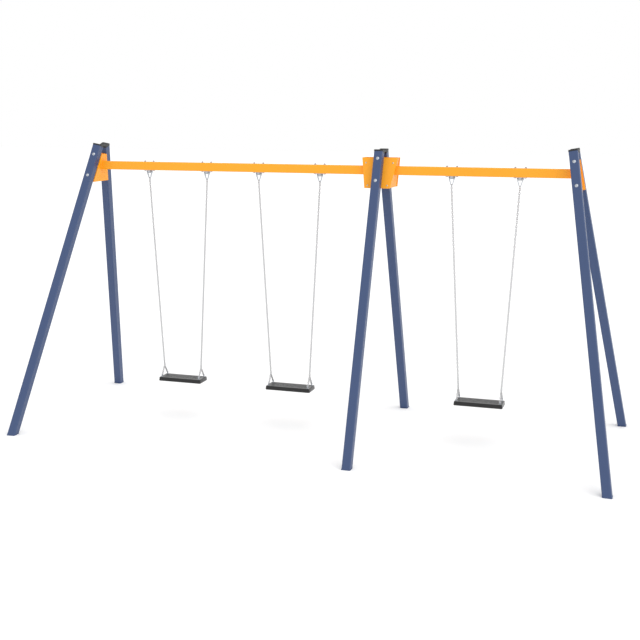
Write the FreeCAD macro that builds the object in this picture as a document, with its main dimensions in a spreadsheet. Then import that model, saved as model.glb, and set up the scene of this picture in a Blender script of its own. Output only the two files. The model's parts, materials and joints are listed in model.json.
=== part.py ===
"""A triple chain swing set: three A-frames, a crossbeam in two bays and three rubber seats on chains.

Frame: +X runs along the crossbeam, -Y is the front, +Z is up, and the origin is on the ground at the
middle of the set. Lengths are in millimetres and angles in degrees.
"""
import FreeCAD, Part
import math
import os

DIMENSIONS = (
    ("tube_side", 80, "outer side of every square steel tube"),
    ("tube_wall", 4, "wall of every tube"),
    ("tube_corner", 9, "outer corner radius of every tube"),
    ("beam_height", 2545, "ground to the crossbeam's axis"),
    ("half_span", 2351, "middle of the set to each end frame, at beam height"),
    ("middle_frame_x", 578, "middle of the set to the middle frame"),
    ("leg_lean", 20, "each leg's lean from its frame's upright"),
    ("frame_lean", 10, "outward lean of the two end frames"),
    ("leg_offset", 134, "beam axis to a leg's axis, at beam height"),
    ("leg_rise_end", 219, "leg above beam height, end frames, along the leg"),
    ("leg_rise_middle", 192, "leg above beam height, middle frame, along the leg"),
    ("cap_rim", 14, "thickness of a leg cap's visible rim"),
    ("cap_margin", 2, "how far a cap's rim stands out round its tube"),
    ("cap_plug", 22, "depth of a leg cap's plug in the tube"),
    ("cap_skin", 3, "wall of a leg cap"),
    ("foot_plate", 6, "thickness of the plate that closes a leg's foot"),
    ("foot_margin", 2, "how far a foot plate stands out round its tube"),
    ("bracket_sheet", 6, "sheet thickness of the beam brackets and the middle plates"),
    ("bracket_low", 155, "bracket below the beam axis"),
    ("bracket_high", 118, "bracket above the beam axis"),
    ("end_flange", 80, "flange depth of a bracket on an end frame"),
    ("middle_flange", 56, "flange depth of a bracket on the middle frame"),
    ("middle_half_width", 145, "half width of a middle plate at beam height"),
    ("plate_inset", 4, "how far a middle bracket's end plate sits inside the middle plates"),
    ("leg_bolt_shank", 12, "leg bolt diameter"),
    ("leg_bolt_head", 30, "leg bolt domed head diameter"),
    ("leg_bolt_dome", 7, "leg bolt domed head height"),
    ("leg_bolt_tip", 6, "leg bolt beyond its nut"),
    ("leg_bolt_up", 109, "beam height to a leg's upper bolt, along the leg"),
    ("leg_bolt_down", 109, "beam height to an end leg's lower bolt, along the leg"),
    ("leg_bolt_down_middle", 100, "beam height to a middle leg's lower bolt, along the leg"),
    ("plate_bolt_shank", 8, "middle plate bolt diameter"),
    ("plate_bolt_head", 16, "middle plate bolt domed head diameter"),
    ("plate_bolt_dome", 4, "middle plate bolt domed head height"),
    ("plate_bolt_tip", 4, "middle plate bolt beyond its nut"),
    ("plate_bolt_up", 90, "beam height to the middle plates' upper bolts, along the leg"),
    ("plate_bolt_down", 124, "beam height to the middle plates' lower bolts, along the leg"),
    ("plate_bolt_inset", 32, "slanted edge of a middle plate to its bolts"),
    ("hole_room", 0.5, "radial room of a bolt in its hole"),
    ("thread_room", 0.05, "radial room of a bolt in its nut"),
    ("nut_flange", 2.5, "thickness of a flanged nut's flange"),
    ("left_swing_x", -1481, "middle of the left swing"),
    ("centre_swing_x", -325, "middle of the centre swing"),
    ("right_swing_x", 1548, "middle of the right swing"),
    ("hanger_spacing", 616, "hanger to hanger on one swing"),
    ("hanger_bolt_spacing", 92, "bolt to bolt on one hanger"),
    ("hanger_bolt_shank", 10, "hanger bolt diameter"),
    ("hanger_bolt_tip", 3, "hanger bolt above its nut"),
    ("washer_thick", 2, "washer on top of the beam"),
    ("hanger_plate_long", 118, "hanger mounting plate, along the beam"),
    ("hanger_plate_wide", 44, "hanger mounting plate, across the beam"),
    ("hanger_plate_thick", 4, "hanger mounting plate thickness"),
    ("pivot_drop", 12, "hanger plate's underside to the pivot axis"),
    ("housing_wide", 28, "bearing housing, along the beam"),
    ("housing_radius", 13, "bearing housing's radius round the pivot"),
    ("bush_outer", 18, "bush outer diameter, a press fit in its housing"),
    ("bush_bore", 12, "bush bore"),
    ("bush_long", 35, "bush length, so that it keeps the stirrup off the housing"),
    ("pin_room", 0.05, "radial running clearance of the pivot pin"),
    ("side_room", 0.5, "gap between the bush and each side of the stirrup"),
    ("strap_thick", 6, "stirrup strap thickness"),
    ("strap_deep", 22, "stirrup strap depth, and the outer diameter of its eyes"),
    ("pin_head", 18, "pivot pin head diameter"),
    ("pin_head_thick", 4, "pivot pin head thickness"),
    ("pin_nut_thick", 6, "thin nut on the pivot pin"),
    ("pin_tip", 1.5, "pivot pin beyond its nut"),
    ("stirrup_drop", 67, "pivot axis to the middle of the strap at its lowest"),
    ("stirrup_shoulder", 16, "how far the strap runs straight down from the pivot axis"),
    ("stirrup_bend", 8, "stirrup's lower bend, to the middle of the strap"),
    ("stirrup_foot_deep", 10, "depth that the strap tapers to at its foot"),
    ("hanger_ring_wire", 6, "hanger ring wire diameter, which has to fit in a chain link"),
    ("hanger_ring_radius", 13, "hanger ring, to its wire centre"),
    ("chain_wire", 6, "chain wire diameter"),
    ("chain_inside", 8, "inner width of a chain link"),
    ("chain_pitch", 18.5, "wanted pitch of the chain"),
    ("chain_room", 0.3, "gap where one link bears on the next"),
    ("seat_chain_links", 5, "links from a ring to a seat eye"),
    ("ring_wire", 7, "joining ring wire diameter, which has to fit in a chain link"),
    ("ring_radius", 15, "joining ring, to its wire centre"),
    ("seat_long", 456, "seat, along the beam"),
    ("seat_deep", 180, "seat, front to back"),
    ("seat_upper", 20, "thickness of the seat's upper tier"),
    ("seat_lower", 18, "thickness of the seat's lower tier"),
    ("seat_step", 2, "how far the upper tier sits inside the lower one"),
    ("seat_corner", 12, "seat corner radius in plan"),
    ("seat_edge", 7, "rounding of the seat's upper edge"),
    ("seat_clearance", 387, "ground to the seat's underside"),
    ("seat_eye_x", 202, "seat middle to its eyes, along the beam"),
    ("seat_eye_y", 64, "seat middle to its eyes, front to back"),
    ("seat_eye_wire", 7, "seat eye wire diameter"),
    ("seat_eye_radius", 9, "seat eye, to its wire centre"),
    ("seat_eye_collar", 3, "collar under a seat eye"),
    ("seat_eye_shank", 8, "seat eye shank diameter"),
    ("seat_eye_sink", 0.5, "how far an eye's ring runs into its collar"),
    ("seat_eye_lift", 4, "seat underside to the end of an eye's shank"),
    ("insert_long", 424, "seat insert plate, along the beam"),
    ("insert_deep", 150, "seat insert plate, front to back"),
    ("insert_thick", 5, "seat insert plate thickness"),
    ("insert_height", 15, "seat underside to its insert"),
    ("seat_nut_pocket", 22, "diameter of the pockets under the seat"),
)

# Proportions of fasteners, each as a share of the bolt's diameter.
HEX_ACROSS = 0.92
FLANGE_ACROSS = 1.1
COLLAR_ACROSS = 1.25
NUT_TALL = 0.9
HEX_HEAD_TALL = 0.6

# Cutters run OVER past the faces they cut. WIDE is past the edge of any one piece, and FAR past the whole
# set. Two lengths that differ by less than CLOSE are the same.
OVER = 1.0
FAR = 9000.0
WIDE = 400.0
CLOSE = 1e-6

ACROSS = FreeCAD.Vector(1, 0, 0)
BACK = FreeCAD.Vector(0, 1, 0)
UP = FreeCAD.Vector(0, 0, 1)
SIDES = {"left": -1, "right": 1}
SWINGS = ("left_swing", "centre_swing", "right_swing")
FRAMES = ("left", "middle", "right")
LEGS = ("front", "back")

doc = FreeCAD.newDocument("triple_swing_set")
sheet = doc.addObject("Spreadsheet::Sheet", "Dims")
sub_parts = []


def fill_sheet():
    """Writes the driving dimensions as plain numbers, each with its alias."""
    for row, (alias, number, note) in enumerate(DIMENSIONS, start=1):
        sheet.set(f"A{row}", alias)
        sheet.set(f"B{row}", str(number))
        sheet.set(f"C{row}", note)
        sheet.setAlias(f"B{row}", alias)
    doc.recompute()


def dim(alias):
    """A driving dimension as a number."""
    return float(sheet.get(alias))


def place(x=0.0, y=0.0, z=0.0, axis=UP, angle=0.0):
    """A placement at a point, turned about an axis."""
    return FreeCAD.Placement(FreeCAD.Vector(x, y, z), FreeCAD.Rotation(axis, angle))


def primitive(kind, name, placement, **sizes):
    """A Part primitive whose sizes are expressions on the sheet."""
    piece = doc.addObject("Part::" + kind, name)
    for size, text in sizes.items():
        piece.setExpression(size, text)
    piece.Placement = placement
    return piece


def box(name, placement, length, width, height):
    """A box from its placement's corner, its sizes as expressions or numbers."""
    return primitive("Box", name, placement, Length=str(length), Width=str(width), Height=str(height))


def rod(name, placement, radius, length):
    """A cylinder along its placement's local z, its sizes as expressions or numbers."""
    return primitive("Cylinder", name, placement, Radius=str(radius), Height=str(length))


def ring(name, placement, radius, wire_radius, turn=360):
    """A torus, or a part of one, round its placement's local z."""
    sizes = {"Radius1": str(radius), "Radius2": str(wire_radius), "Angle3": str(turn)}
    return primitive("Torus", name, placement, **sizes)


def rod_across(name, start, radius, length):
    """A cylinder along local x, from a place on that axis."""
    return rod(name, place(start, 0, 0, BACK, 90), radius, length)


def joined(kind, name, shapes):
    """A Part::MultiFuse, Part::MultiCommon or Part::Compound of several objects."""
    piece = doc.addObject("Part::" + kind, name)
    if kind == "Compound":
        piece.Links = shapes
    else:
        piece.Shapes = shapes
    return piece


def cut(name, base, tools):
    """base with every tool taken away."""
    piece = doc.addObject("Part::Cut", name)
    piece.Base = base
    piece.Tool = tools[0] if len(tools) == 1 else joined("Compound", name + "_tools", tools)
    return piece


def sub_part(piece, label, placement=None):
    """Names a finished piece and puts it in its place."""
    piece.Label = label
    if placement is not None:
        piece.Placement = placement
    sub_parts.append(piece)
    return piece


def copies(label, master, placements):
    """One sub-part that holds a separate copy of master's solid at each placement."""
    doc.recompute()
    group = doc.addObject("Part::Feature", label)
    solids = []
    for placement in placements:
        solid = master.Shape.copy()
        solid.Placement = placement.multiply(master.Placement)
        solids.append(solid)
    group.Shape = Part.makeCompound(solids)
    return sub_part(group, label)


def long_edges(shape, direction, at_least):
    """Names of a shape's straight edges along a direction and no shorter than at_least."""
    names = []
    for number, edge in enumerate(shape.Edges, start=1):
        run = edge.Vertexes[-1].Point.sub(edge.Vertexes[0].Point)
        if run.Length >= at_least and abs(abs(run.normalize().dot(direction)) - 1) < CLOSE:
            names.append(f"Edge{number}")
    return names


def rounded(body, feature, names, radius):
    """A PartDesign fillet of the named edges, as the body's new tip."""
    fillet = body.newObject("PartDesign::Fillet", feature.Name + "_rounded")
    fillet.Base = (feature, names)
    fillet.setExpression("Radius", radius)
    body.Tip = fillet
    doc.recompute()
    return fillet


def square_tube(name, start, length):
    """A hollow square tube along local z from start, with rounded corners inside and out."""
    side, wall = dim("tube_side"), dim("tube_wall")
    body = doc.addObject("PartDesign::Body", name)
    outside = body.newObject("PartDesign::AdditiveBox", name + "_outside")
    outside.setExpression("Length", "Dims.tube_side")
    outside.setExpression("Width", "Dims.tube_side")
    outside.Height = length
    outside.Placement = place(-side / 2, -side / 2, start)
    doc.recompute()
    corners = long_edges(outside.Shape, UP, length - OVER)
    rounded(body, outside, corners, "Dims.tube_corner")
    bore = body.newObject("PartDesign::SubtractiveBox", name + "_bore")
    bore.setExpression("Length", "Dims.tube_side - 2 * Dims.tube_wall")
    bore.setExpression("Width", "Dims.tube_side - 2 * Dims.tube_wall")
    bore.Height = length + 2 * OVER
    bore.Placement = place(wall - side / 2, wall - side / 2, start - OVER)
    body.Tip = bore
    doc.recompute()
    inner = side / 2 - wall
    bore_corners = []
    for number, edge in enumerate(bore.Shape.Edges, start=1):
        middle = edge.CenterOfMass
        if abs(abs(middle.x) - inner) < CLOSE and abs(abs(middle.y) - inner) < CLOSE:
            bore_corners.append(f"Edge{number}")
    rounded(body, bore, bore_corners, "Dims.tube_corner - Dims.tube_wall")
    return body


def square_bar(name, start, length, extra):
    """A solid square bar with rounded corners along local z, extra wider than the tube on each side."""
    half = dim("tube_side") / 2 + extra
    body = doc.addObject("PartDesign::Body", name)
    outside = body.newObject("PartDesign::AdditiveBox", name + "_outside")
    outside.Length = 2 * half
    outside.Width = 2 * half
    outside.Height = length
    outside.Placement = place(-half, -half, start)
    doc.recompute()
    corners = long_edges(outside.Shape, UP, length - CLOSE)
    rounded(body, outside, corners, f"Dims.tube_corner + {extra}")
    return body


# Places ---------------------------------------------------------------------------------------------


def frame_place(frame):
    """An A-frame's own axes: origin on the beam axis, local z up the frame's lean."""
    where = {"left": -dim("half_span"), "middle": dim("middle_frame_x"), "right": dim("half_span")}
    lean = {"left": dim("frame_lean"), "middle": 0.0, "right": -dim("frame_lean")}
    return place(where[frame], 0, dim("beam_height"), BACK, lean[frame])


def leg_place(frame, leg):
    """A leg's own axes: local z up the leg, local +y towards the other leg."""
    if leg == "front":
        return frame_place(frame).multiply(place(0, -dim("leg_offset"), 0, ACROSS, -dim("leg_lean")))
    turned = place(0, dim("leg_offset"), 0, ACROSS, dim("leg_lean"))
    return frame_place(frame).multiply(turned).multiply(place(axis=UP, angle=180))


def leg_rise(frame):
    """How far a frame's legs run on above beam height."""
    return dim("leg_rise_middle") if frame == "middle" else dim("leg_rise_end")


def leg_bolt_heights(frame):
    """The heights of a leg's two bolts, measured along the leg from beam height."""
    down = dim("leg_bolt_down_middle") if frame == "middle" else dim("leg_bolt_down")
    return (dim("leg_bolt_up"), -down)


def inner_half_gap(height, sheets):
    """Half the gap between two legs' inner faces at a height, less some sheets on each face."""
    lean = math.radians(dim("leg_lean"))
    covered = dim("tube_side") / 2 + sheets * dim("bracket_sheet")
    return dim("leg_offset") - covered / math.cos(lean) - height * math.tan(lean)


def hanger_xs(swing):
    """The places of a swing's two hangers along the beam."""
    return [dim(swing + "_x") + sign * dim("hanger_spacing") / 2 for sign in (-1, 1)]


def pivot_height():
    """Height of every hanger's pivot axis."""
    beam_bottom = dim("beam_height") - dim("tube_side") / 2
    return beam_bottom - dim("hanger_plate_thick") - dim("pivot_drop")


def seat_top():
    """Height of a seat's upper face."""
    return dim("seat_clearance") + dim("seat_lower") + dim("seat_upper")


def seat_eye_height():
    """Height of the middle of a seat eye's ring."""
    above_collar = dim("seat_eye_radius") + dim("seat_eye_wire") / 2 - dim("seat_eye_sink")
    return seat_top() + dim("seat_eye_collar") + above_collar


def link_crown():
    """A link's middle to the wire centre of its crown."""
    return (dim("chain_pitch") + dim("chain_room") + dim("chain_wire")) / 2


def hook(radius, wire):
    """Middle of a ring or eye to the crown's wire centre of the link that hooks on it."""
    return radius - wire / 2 - dim("chain_wire") / 2 - dim("chain_room")


def hanger_ring_height():
    """Height of the middle of the rings that hang on the stirrups."""
    strap_top = pivot_height() - dim("stirrup_drop") + dim("strap_thick") / 2
    inside = dim("hanger_ring_radius") - dim("hanger_ring_wire") / 2
    above_edges = math.sqrt(inside ** 2 - (dim("stirrup_foot_deep") / 2) ** 2)
    return strap_top + dim("chain_room") - above_edges


def seat_chain_reach():
    """Ring middle to seat eye middle, along one seat chain."""
    between = (dim("seat_chain_links") - 1) * dim("chain_pitch") + 2 * link_crown()
    at_ring = hook(dim("ring_radius"), dim("ring_wire"))
    at_eye = hook(dim("seat_eye_radius"), dim("seat_eye_wire"))
    return at_ring + between + at_eye


def ring_height():
    """Height of the joining rings, from the reach of the seat chains."""
    return seat_eye_height() + math.sqrt(seat_chain_reach() ** 2 - dim("seat_eye_y") ** 2)


# Frame ----------------------------------------------------------------------------------------------


def leg_below(frame):
    """Enough leg below beam height to run into the ground, along the leg."""
    lean = math.cos(math.radians(dim("leg_lean")))
    if frame != "middle":
        lean *= math.cos(math.radians(dim("frame_lean")))
    return dim("beam_height") / lean + dim("tube_side")


def bolt_hole(name, diameter, length, placement):
    """A round cutter for a bolt, with its room."""
    return rod(name, placement, f"{diameter} / 2 + Dims.hole_room", length)


def leg(frame, side):
    """A leg tube, cut level at its foot and drilled for its two bolts."""
    name = f"{frame}_frame_{side}_leg"
    below = leg_below(frame)
    tube = square_tube(name + "_tube", -below, below + leg_rise(frame) - dim("cap_rim"))
    local = leg_place(frame, side)
    ground = local.inverse().multiply(place(-FAR, -FAR, -WIDE))
    soil = box(name + "_soil", ground, 2 * FAR, 2 * FAR, f"{WIDE} + Dims.foot_plate")
    holes = []
    for height in leg_bolt_heights(frame):
        across = place(0, -dim("tube_side"), height, ACROSS, -90)
        holes.append(bolt_hole(name + "_hole", "Dims.leg_bolt_shank", "2 * Dims.tube_side", across))
    sub_part(cut(name, tube, [soil] + holes), name, local)


def foot_plates():
    """The welded plates that close the six feet, level with the ground."""
    solids = []
    for frame in FRAMES:
        for side in LEGS:
            name = f"{frame}_{side}_foot"
            bar = square_bar(name + "_bar", -leg_below(frame), 3 * dim("tube_side"), dim("foot_margin"))
            bar.Placement = leg_place(frame, side)
            slab = box(name + "_slab", place(-FAR, -FAR), 2 * FAR, 2 * FAR, "Dims.foot_plate")
            solids.append(joined("MultiCommon", name, [bar, slab]))
    sub_part(joined("Compound", "leg_foot_plates", solids), "leg_foot_plates")


def cap_master():
    """A push-in plastic cap in a leg's axes, its rim's underside at local z = 0."""
    half = dim("tube_side") / 2
    rim = square_bar("cap_rim_bar", 0, dim("cap_rim"), dim("cap_margin"))
    recess = dim("cap_rim") - half
    floor = dim("cap_rim") - dim("cap_skin") / 2
    across = "Dims.tube_side - 2 * Dims.cap_rim"
    dish = box("cap_dish", place(recess, recess, floor), across, across, "Dims.cap_skin")
    plug_half = half - dim("tube_wall") - dim("hole_room")
    across = "Dims.tube_side - 2 * (Dims.tube_wall + Dims.hole_room)"
    deep = dim("cap_plug")
    plug = box("cap_plug_outside", place(-plug_half, -plug_half, -deep), across, across, deep + OVER)
    wall = dim("cap_skin") - plug_half
    across += " - 2 * Dims.cap_skin"
    core = box("cap_plug_inside", place(wall, wall, -deep - OVER), across, across, deep + OVER)
    doc.recompute()
    plug_round = doc.addObject("Part::Fillet", "cap_plug_round")
    plug_round.Base = plug
    radius = dim("tube_corner") - dim("tube_wall")
    names = long_edges(plug.Shape, UP, dim("cap_plug"))
    plug_round.Edges = [(int(name[4:]), radius, radius) for name in names]
    solid = joined("MultiFuse", "cap_solid", [rim, plug_round])
    return cut("leg_cap", solid, [dish, core])


def leg_caps():
    """The six caps, one in the top of each leg."""
    tops = []
    for frame in FRAMES:
        for side in LEGS:
            tops.append(leg_place(frame, side).multiply(place(z=leg_rise(frame) - dim("cap_rim"))))
    copies("leg_top_caps", cap_master(), tops)


def prism(name, placement, reach, low, low_half, high, high_half):
    """A prism along local x whose half width along y changes from one height to another."""
    wedge = doc.addObject("Part::Wedge", name)
    wedge.Ymin, wedge.Ymax = low, high
    wedge.Xmin, wedge.Xmax = -low_half, low_half
    wedge.X2min, wedge.X2max = -high_half, high_half
    wedge.Zmin, wedge.Zmax = -reach, reach
    wedge.Z2min, wedge.Z2max = -reach, reach
    wedge.Placement = placement.multiply(place(axis=FreeCAD.Vector(1, 1, 1), angle=120))
    return wedge


def trapezoid(name, sheets, reach, placement, tall):
    """A prism along the frame's local x that fills the gap between the legs, less some sheets."""
    low, high = -dim("bracket_low") - tall, dim("bracket_high") + tall
    halves = [inner_half_gap(height, sheets) for height in (low, high)]
    return prism(name, placement, reach, low, halves[0], high, halves[1])


def beam_end_place(frame, beam_side):
    """Axes on the beam-side face of a bracket's end plate, local +x away from the beam.

    beam_side is -1 where the beam is to the left of the frame, and 1 where it is to the right.
    """
    lean = place(axis=BACK, angle=beam_side * dim("frame_lean"))
    if frame == "middle":
        middle_x = (dim("middle_half_width") - dim("plate_inset")) * beam_side
        start = place(dim("middle_frame_x") + middle_x, 0, dim("beam_height"))
        face = start.multiply(lean)
    else:
        face = frame_place(frame).multiply(place(beam_side * (dim("tube_side") / 2 + dim("bracket_sheet"))))
    return face if beam_side < 0 else face.multiply(place(axis=UP, angle=180))


def bracket_bolt_places(frame):
    """Leg-axis places of the bolts that hold a frame's brackets, on the leg's inner face."""
    if frame != "middle":
        return [(0.0, height) for height in leg_bolt_heights(frame)]
    places = []
    for height in (dim("plate_bolt_up"), -dim("plate_bolt_down")):
        edge = plate_half_width(height) - dim("plate_bolt_inset")
        places += [(-edge, height), (edge, height)]
    return places


def beam_bracket(name, frame, beam_side):
    """A folded sheet bracket between the legs: an end plate for the beam and two bolted flanges."""
    sheets = 1 if frame == "middle" else 0
    depth = "Dims.middle_flange" if frame == "middle" else "Dims.end_flange + Dims.bracket_sheet"
    between = frame_place(frame)
    face = beam_end_place(frame, beam_side)
    reach = 2 * dim("middle_half_width")
    outer = trapezoid(name + "_outer", sheets, reach, between, 0)
    slab = box(name + "_slab", face.multiply(place(0, -WIDE, -WIDE)), depth, 2 * WIDE, 2 * WIDE)
    block = joined("MultiCommon", name + "_block", [outer, slab])
    inner = trapezoid(name + "_inner", sheets + 1, reach, between, OVER)
    behind_place = face.multiply(place(dim("bracket_sheet"), -WIDE, -WIDE))
    behind = box(name + "_behind", behind_place, depth, 2 * WIDE, 2 * WIDE)
    hollow = joined("MultiCommon", name + "_hollow", [inner, behind])
    shank = "Dims.plate_bolt_shank" if frame == "middle" else "Dims.leg_bolt_shank"
    tools = [hollow]
    for side in LEGS:
        for x, height in bracket_bolt_places(frame):
            start = place(x, dim("tube_side") / 2 - OVER, height, ACROSS, -90)
            across = leg_place(frame, side).multiply(start)
            tools.append(bolt_hole(name + "_hole", shank, "4 * Dims.bracket_sheet", across))
    sub_part(cut(name, block, tools), name)


def plate_half_width(height):
    """Half width of a middle plate at a height along the leg: its ends lean as the end frames do."""
    upright = height * math.cos(math.radians(dim("leg_lean")))
    return dim("middle_half_width") + upright * math.tan(math.radians(dim("frame_lean")))


def middle_plates():
    """The wide plates on the middle legs' inner faces that both beams' brackets bolt to."""
    name = "middle_plate"
    lean = math.radians(dim("leg_lean"))
    near, far = dim("tube_side") / 2, dim("tube_side") / 2 + dim("bracket_sheet")
    low = (near * math.sin(lean) - dim("bracket_low")) / math.cos(lean)
    high = (near * math.sin(lean) + dim("bracket_high")) / math.cos(lean)
    blank = doc.addObject("Part::Wedge", name + "_blank")
    blank.Ymin, blank.Ymax = low, high
    blank.Xmin, blank.Xmax = -plate_half_width(low), plate_half_width(low)
    blank.X2min, blank.X2max = -plate_half_width(high), plate_half_width(high)
    blank.Zmin, blank.Zmax = -far, -near
    blank.Z2min, blank.Z2max = -far, -near
    blank.Placement = place(axis=ACROSS, angle=90)
    tools = []
    for height in leg_bolt_heights("middle"):
        across = place(0, near - OVER, height, ACROSS, -90)
        tools.append(bolt_hole(name + "_leg_hole", "Dims.leg_bolt_shank", "2 * Dims.bracket_sheet", across))
    for x, height in bracket_bolt_places("middle"):
        across = place(x, near - OVER, height, ACROSS, -90)
        tools.append(bolt_hole(name + "_hole", "Dims.plate_bolt_shank", "2 * Dims.bracket_sheet", across))
    copies("middle_plates", cut(name, blank, tools), [leg_place("middle", side) for side in LEGS])


def beam(name, left_frame, right_frame, swings):
    """A crossbeam tube with both ends cut to the brackets' lean and drilled for its hangers."""
    ends = [beam_end_place(left_frame, 1), beam_end_place(right_frame, -1)]
    margin = dim("tube_side")
    start = ends[0].Base.x - margin
    length = ends[1].Base.x - ends[0].Base.x + 2 * margin
    tube = square_tube(name + "_tube", 0, length)
    tube.Placement = place(start, 0, dim("beam_height"), BACK, 90)
    tools = []
    for number, end in enumerate(ends):
        beyond = end.multiply(place(0, -WIDE / 2, -WIDE / 2))
        tools.append(box(f"{name}_end_{number}", beyond, WIDE, WIDE, WIDE))
    for swing in swings:
        for x in hanger_bolt_xs(swing):
            through = place(x, 0, dim("beam_height") - dim("tube_side"))
            tools.append(bolt_hole(name + "_hole", "Dims.hanger_bolt_shank", "2 * Dims.tube_side", through))
    sub_part(cut(name, tube, tools), name)


# Fasteners ------------------------------------------------------------------------------------------


def domed_bolt(name, shank, head, dome, length):
    """A domed bolt along local z: head below z = 0 and shank above it."""
    ball = f"((Dims.{head} / 2) ^ 2 + Dims.{dome} ^ 2) / (2 * Dims.{dome})"
    radius = ((dim(head) / 2) ** 2 + dim(dome) ** 2) / (2 * dim(dome))
    latitude = math.degrees(math.asin((radius - dim(dome)) / radius))
    turned = place(0, 0, radius - dim(dome), ACROSS, 180)
    cap = primitive("Sphere", name + "_dome", turned, Radius=ball, Angle1=str(latitude))
    stem = rod(name + "_shank", place(z=-OVER), f"Dims.{shank} / 2", length + OVER)
    return joined("MultiFuse", name, [cap, stem])


def nut_height(shank):
    """A plain nut's height, from its bolt's diameter."""
    return NUT_TALL * dim(shank)


def hex_nut(name, shank, flanged, height):
    """A nut along local z from z = 0, sized from its bolt and bored to clear it."""
    hexagon = f"{HEX_ACROSS} * Dims.{shank}"
    parts = [primitive("Prism", name + "_hex", place(), Circumradius=hexagon, Height=str(height))]
    if flanged:
        parts.append(rod(name + "_flange", place(), f"{FLANGE_ACROSS} * Dims.{shank}", "Dims.nut_flange"))
    body = joined("MultiFuse", name + "_body", parts) if flanged else parts[0]
    bore = rod(name + "_bore", place(z=-OVER), f"Dims.{shank} / 2 + Dims.thread_room", height + 2 * OVER)
    return cut(name, body, [bore])


def leg_fasteners():
    """Two domed bolts through each leg, with flanged nuts on the bracket side."""
    tall = nut_height("leg_bolt_shank")
    length = dim("tube_side") + dim("bracket_sheet") + tall + dim("leg_bolt_tip")
    bolt = domed_bolt("leg_bolt", "leg_bolt_shank", "leg_bolt_head", "leg_bolt_dome", length)
    nut = hex_nut("leg_nut", "leg_bolt_shank", True, tall)
    heads, tails = [], []
    half = dim("tube_side") / 2
    for frame in FRAMES:
        for side in LEGS:
            for height in leg_bolt_heights(frame):
                local = leg_place(frame, side)
                heads.append(local.multiply(place(0, -half, height, ACROSS, -90)))
                tails.append(local.multiply(place(0, half + dim("bracket_sheet"), height, ACROSS, -90)))
    copies("leg_bolts", bolt, heads)
    copies("leg_bolt_nuts", nut, tails)


def plate_fasteners():
    """Small domed bolts that join the two middle plates to the beams' brackets."""
    tall = nut_height("plate_bolt_shank")
    length = 2 * dim("bracket_sheet") + tall + dim("plate_bolt_tip")
    bolt = domed_bolt("plate_bolt", "plate_bolt_shank", "plate_bolt_head", "plate_bolt_dome", length)
    nut = hex_nut("plate_nut", "plate_bolt_shank", True, tall)
    heads, tails = [], []
    half = dim("tube_side") / 2
    for side in LEGS:
        local = leg_place("middle", side)
        for x, height in bracket_bolt_places("middle"):
            heads.append(local.multiply(place(x, half, height, ACROSS, -90)))
            tails.append(local.multiply(place(x, half + 2 * dim("bracket_sheet"), height, ACROSS, -90)))
    copies("plate_bolts", bolt, heads)
    copies("plate_bolt_nuts", nut, tails)


# Hangers --------------------------------------------------------------------------------------------


def hanger_bolt_xs(swing):
    """The places of a swing's four hanger bolts along the beam."""
    half = dim("hanger_bolt_spacing") / 2
    return [x + sign * half for x in hanger_xs(swing) for sign in (-1, 1)]


def hanger_fasteners():
    """Hex bolts up through the beam, with a washer and a nut on top of it."""
    shank, washer_thick = dim("hanger_bolt_shank"), dim("washer_thick")
    head_tall, nut_tall = HEX_HEAD_TALL * shank, nut_height("hanger_bolt_shank")
    length = dim("hanger_plate_thick") + dim("tube_side") + washer_thick + nut_tall + dim("hanger_bolt_tip")
    hexagon = f"{HEX_ACROSS} * Dims.hanger_bolt_shank"
    below = place(z=-head_tall)
    head = primitive("Prism", "hanger_bolt_hex", below, Circumradius=hexagon, Height=str(head_tall))
    stem = rod("hanger_bolt_stem", place(z=-OVER), "Dims.hanger_bolt_shank / 2", length + OVER)
    bolt = joined("MultiFuse", "hanger_bolt", [head, stem])
    nut = hex_nut("hanger_nut", "hanger_bolt_shank", False, nut_tall)
    disc = rod("hanger_washer_disc", place(), "Dims.hanger_bolt_shank", "Dims.washer_thick")
    through = place(z=-OVER)
    bore = bolt_hole("hanger_washer_bore", "Dims.hanger_bolt_shank", washer_thick + 2 * OVER, through)
    washer = cut("hanger_washer", disc, [bore])
    xs = [x for swing in SWINGS for x in hanger_bolt_xs(swing)]
    top = dim("beam_height") + dim("tube_side") / 2
    bottom = dim("beam_height") - dim("tube_side") / 2 - dim("hanger_plate_thick")
    copies("hanger_bolts", bolt, [place(x, 0, bottom) for x in xs])
    copies("hanger_bolt_washers", washer, [place(x, 0, top) for x in xs])
    copies("hanger_bolt_nuts", nut, [place(x, 0, top + washer_thick) for x in xs])


def housing_master():
    """A mounting plate with a bearing housing under it, the pivot axis on local x at z = 0."""
    drop, thick = dim("pivot_drop"), dim("hanger_plate_thick")
    corner_place = place(-dim("hanger_plate_long") / 2, -dim("hanger_plate_wide") / 2, drop)
    sizes = ("Dims.hanger_plate_long", "Dims.hanger_plate_wide", "Dims.hanger_plate_thick")
    plate = box("housing_plate", corner_place, *sizes)
    doc.recompute()
    plate_round = doc.addObject("Part::Fillet", "housing_plate_round")
    plate_round.Base = plate
    corner = dim("hanger_plate_wide") / 4
    names = long_edges(plate.Shape, UP, thick - CLOSE)
    plate_round.Edges = [(int(name[4:]), corner, corner) for name in names]
    radius, wide = dim("housing_radius"), dim("housing_wide")
    neck_tall = drop + OVER
    across = "2 * Dims.housing_radius"
    neck = box("housing_neck", place(-wide / 2, -radius, 0), "Dims.housing_wide", across, neck_tall)
    barrel = rod_across("housing_barrel", -wide / 2, "Dims.housing_radius", "Dims.housing_wide")
    bore = rod_across("housing_bore", -wide, "Dims.bush_outer / 2", "2 * Dims.housing_wide")
    tools = [bore]
    for sign in (-1, 1):
        down = place(sign * dim("hanger_bolt_spacing") / 2, 0, drop - OVER)
        tools.append(bolt_hole("housing_hole", "Dims.hanger_bolt_shank", "2 * Dims.hanger_plate_thick", down))
    solid = joined("MultiFuse", "housing_solid", [plate_round, neck, barrel])
    return cut("hanger_housing", solid, tools)


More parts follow.
